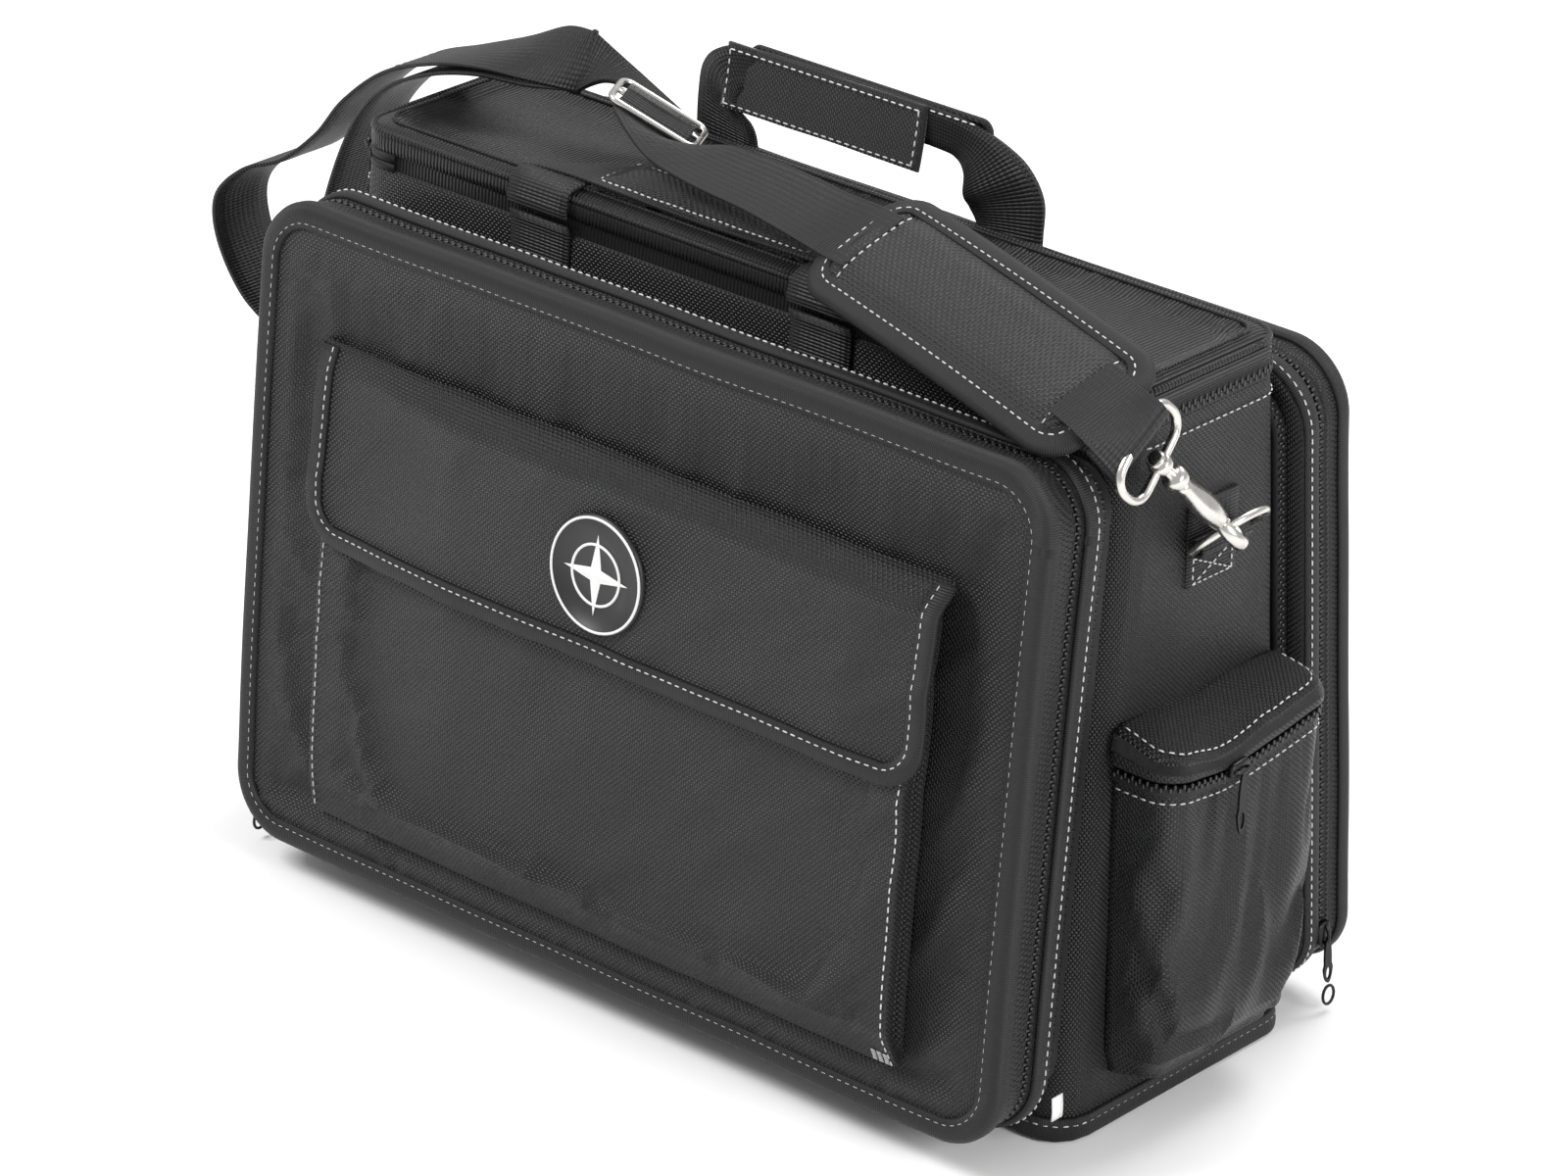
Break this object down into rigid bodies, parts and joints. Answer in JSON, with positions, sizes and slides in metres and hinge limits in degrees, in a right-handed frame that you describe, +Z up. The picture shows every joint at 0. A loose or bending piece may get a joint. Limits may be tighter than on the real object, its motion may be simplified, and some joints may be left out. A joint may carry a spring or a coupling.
{
  "type": "flight bag",
  "caption": "Soft black flight bag with a zip-round lid, zipped organiser cases front and back, end pouches, two webbing handles and a padded shoulder strap on snap hooks.",
  "frame": {"origin": "centre of the base's underside, on the surface the bag stands on", "axes": "+X along the bag towards its right end as seen from the front, -Y towards the front (the side with the flap pocket), +Z up"},
  "size_m": [0.6296, 0.2784, 0.412],
  "materials": {
    "nylon": "coarse woven black nylon",
    "ribbed_nylon": "fine ribbed black nylon",
    "lining": "thin grey-black lining",
    "board": "plain board",
    "binding_tape": "folded grosgrain tape with pale stitching",
    "webbing": "herringbone webbing",
    "padding": "padded, bound and stitched",
    "loop_pile": "fuzzy loop pile",
    "zip_tape": "woven tape with a coil",
    "nickel": "polished nickel plate",
    "gate_steel": "satin",
    "slider_metal": "black lacquer",
    "badge_rubber": "moulded, with a pale ring",
    "label_cloth": "plain white"
  },
  "bodies": {
    "case": {"body_shell": "nylon", "base_board": "board", "base_binding": "binding_tape", "main_divider": "lining", "handle_bands": "webbing", "lid_zip_lower": "zip_tape", "care_label": "label_cloth", "front_attach_zip": "nylon", "front_case_back": "nylon", "front_back_binding": "binding_tape", "front_zip_inner": "zip_tape", "front_organiser": "lining", "rear_attach_zip": "nylon", "rear_case_back": "nylon", "rear_back_binding": "binding_tape", "rear_zip_inner": "zip_tape", "end_pocket_right": "nylon", "end_pocket_left": "nylon", "dring_tabs": "webbing"},
    "lid": {"lid_panel": "ribbed_nylon", "lid_piping": "binding_tape", "lid_zip_upper": "zip_tape"},
    "front_handle": {"front_handle": "webbing", "front_handle_grip": "padding"},
    "rear_handle": {"rear_handle": "webbing", "rear_handle_grip": "padding"},
    "wrap": {"handle_wrap": "loop_pile"},
    "front_panel": {"front_case_panel": "nylon", "front_panel_binding": "binding_tape", "front_zip_outer": "zip_tape", "front_pocket": "nylon"},
    "flap": {"pocket_flap": "nylon", "flap_binding": "binding_tape", "badge": "badge_rubber"},
    "rear_panel": {"rear_case_panel": "nylon", "rear_panel_binding": "binding_tape", "rear_zip_outer": "zip_tape"},
    "end_lid_right": {"end_pocket_lid_right": "nylon"},
    "end_lid_left": {"end_pocket_lid_left": "nylon"},
    "end_slider_right": {"end_pocket_slider_right": "slider_metal"},
    "end_slider_left": {"end_pocket_slider_left": "slider_metal"},
    "strap": {"shoulder_pad": "padding", "strap_webbing": "webbing", "strap_tail": "webbing", "strap_adjuster": "nickel", "hook_loop_right": "nickel"},
    "right_hook": {"hook_right": "nickel"},
    "right_gate": {"hook_gate_right": "gate_steel"},
    "right_ring": {"dring_right": "nickel"},
    "left_hook": {"hook_left": "nickel"},
    "left_gate": {"hook_gate_left": "gate_steel"},
    "left_loop": {"hook_loop_left": "nickel"},
    "left_ring": {"dring_left": "nickel"},
    "lid_slider": {"lid_slider": "slider_metal"},
    "lid_pull": {"lid_pull": "slider_metal"},
    "front_slider": {"front_slider": "slider_metal"},
    "front_pull": {"front_pull": "slider_metal"},
    "rear_slider": {"rear_slider": "slider_metal"},
    "rear_pull": {"rear_pull": "slider_metal"}
  },
  "joints": [
    {"name": "strap_swing", "type": "hinge", "parent": "case", "child": "strap", "pos_m": [-0.32485, 0.004, 0.20765], "axis": [0, -1, 0], "range_deg": [0, 110]},
    {"name": "lid_hinge", "type": "hinge", "parent": "case", "child": "lid", "pos_m": [0, -0.0545, 0.352], "axis": [1, 0, 0], "range_deg": [0, 95]},
    {"name": "front_handle_swing", "type": "hinge", "parent": "lid", "child": "front_handle", "pos_m": [0, -0.058, 0.353], "axis": [1, 0, 0], "range_deg": [0, 50]},
    {"name": "rear_handle_swing", "type": "hinge", "parent": "case", "child": "rear_handle", "pos_m": [0, 0.06, 0.346], "axis": [-1, 0, 0], "range_deg": [0, 75]},
    {"name": "wrap_peel", "type": "hinge", "parent": "rear_handle", "child": "wrap", "pos_m": [0, 0.0588, 0.411], "axis": [-1, 0, 0], "range_deg": [0, 30]},
    {"name": "front_case_hinge", "type": "hinge", "parent": "case", "child": "front_panel", "pos_m": [0, -0.11712, 0.01784], "axis": [1, 0, 0], "range_deg": [0, 38]},
    {"name": "flap_hinge", "type": "hinge", "parent": "front_panel", "child": "flap", "pos_m": [0, -0.11774, 0.28282], "axis": [-1, 0, 0], "range_deg": [0, 88]},
    {"name": "rear_case_hinge", "type": "hinge", "parent": "case", "child": "rear_panel", "pos_m": [0, 0.10616, 0.01691], "axis": [-1, 0, 0], "range_deg": [0, 38]},
    {"name": "end_lid_right_hinge", "type": "hinge", "parent": "case", "child": "end_lid_right", "pos_m": [0.2405, 0, 0.206], "axis": [0, -1, 0], "range_deg": [0, 80]},
    {"name": "end_lid_left_hinge", "type": "hinge", "parent": "case", "child": "end_lid_left", "pos_m": [-0.2405, 0, 0.206], "axis": [0, 1, 0], "range_deg": [0, 18]},
    {"name": "end_slider_right_slide", "type": "slide", "parent": "end_lid_right", "child": "end_slider_right", "axis": [0, 1, 0], "range_m": [-0.028, 0.028]},
    {"name": "end_slider_left_slide", "type": "slide", "parent": "end_lid_left", "child": "end_slider_left", "axis": [0, 1, 0], "range_m": [-0.028, 0.028]},
    {"name": "right_ring_swing", "type": "hinge", "parent": "case", "child": "right_ring", "pos_m": [0.2468, 0.004, 0.28], "axis": [0, 1, 0], "range_deg": [-8, 8]},
    {"name": "left_ring_swing", "type": "hinge", "parent": "case", "child": "left_ring", "pos_m": [-0.2468, 0.004, 0.28], "axis": [0, 1, 0], "range_deg": [-4, 4]},
    {"name": "left_hook_swing", "type": "hinge", "parent": "case", "child": "left_hook", "pos_m": [-0.25805, 0.004, 0.25775], "axis": [0, 1, 0], "range_deg": [-1.2, 1.2]},
    {"name": "left_swivel", "type": "hinge", "parent": "left_hook", "child": "left_loop", "pos_m": [-0.25805, 0.004, 0.25775], "axis": [-0.8, 0, -0.6], "range_deg": [-4, 4]},
    {"name": "right_swivel", "type": "hinge", "parent": "strap", "child": "right_hook", "pos_m": [0.2606, -0.01, 0.294], "axis": [-0.087, -0.7101, 0.6987], "range_deg": [-15, 15]},
    {"name": "right_gate_hinge", "type": "hinge", "parent": "right_hook", "child": "right_gate", "pos_m": [0.25228, -0.00801, 0.29799], "axis": [-0.4595, -0.5936, -0.6606], "range_deg": [0, 12], "stiffness_Nm_per_rad": 0.01},
    {"name": "left_gate_hinge", "type": "hinge", "parent": "left_hook", "child": "left_gate", "pos_m": [-0.25421, 0.004, 0.24913], "axis": [0, -1, 0], "range_deg": [0, 12], "stiffness_Nm_per_rad": 0.01},
    {"name": "lid_zip_slide", "type": "slide", "parent": "case", "child": "lid_slider", "axis": [0, 1, 0], "range_m": [0, 0.07]},
    {"name": "lid_pull_hinge", "type": "hinge", "parent": "lid_slider", "child": "lid_pull", "pos_m": [-0.2465, -0.038, 0.348], "axis": [0, 1, 0], "range_deg": [0, 60]},
    {"name": "front_zip_slide", "type": "slide", "parent": "case", "child": "front_slider", "axis": [0, 0.0837, 0.9965], "range_m": [0, 0.25]},
    {"name": "front_pull_hinge", "type": "hinge", "parent": "front_slider", "child": "front_pull", "pos_m": [-0.2472, -0.1152, 0.04076], "axis": [0, 1, 0], "range_deg": [0, 60]},
    {"name": "rear_zip_slide", "type": "slide", "parent": "case", "child": "rear_slider", "axis": [0, -0.0837, 0.9965], "range_m": [0, 0.25]},
    {"name": "rear_pull_hinge", "type": "hinge", "parent": "rear_slider", "child": "rear_pull", "pos_m": [0.2472, 0.10423, 0.03983], "axis": [0, -1, 0], "range_deg": [0, 60]}
  ],
  "couplings": [
    {"joint": "lid_hinge", "follows": "strap_swing", "ratio": 0.86},
    {"joint": "front_handle_swing", "follows": "strap_swing", "ratio": 0.45}
  ]
}
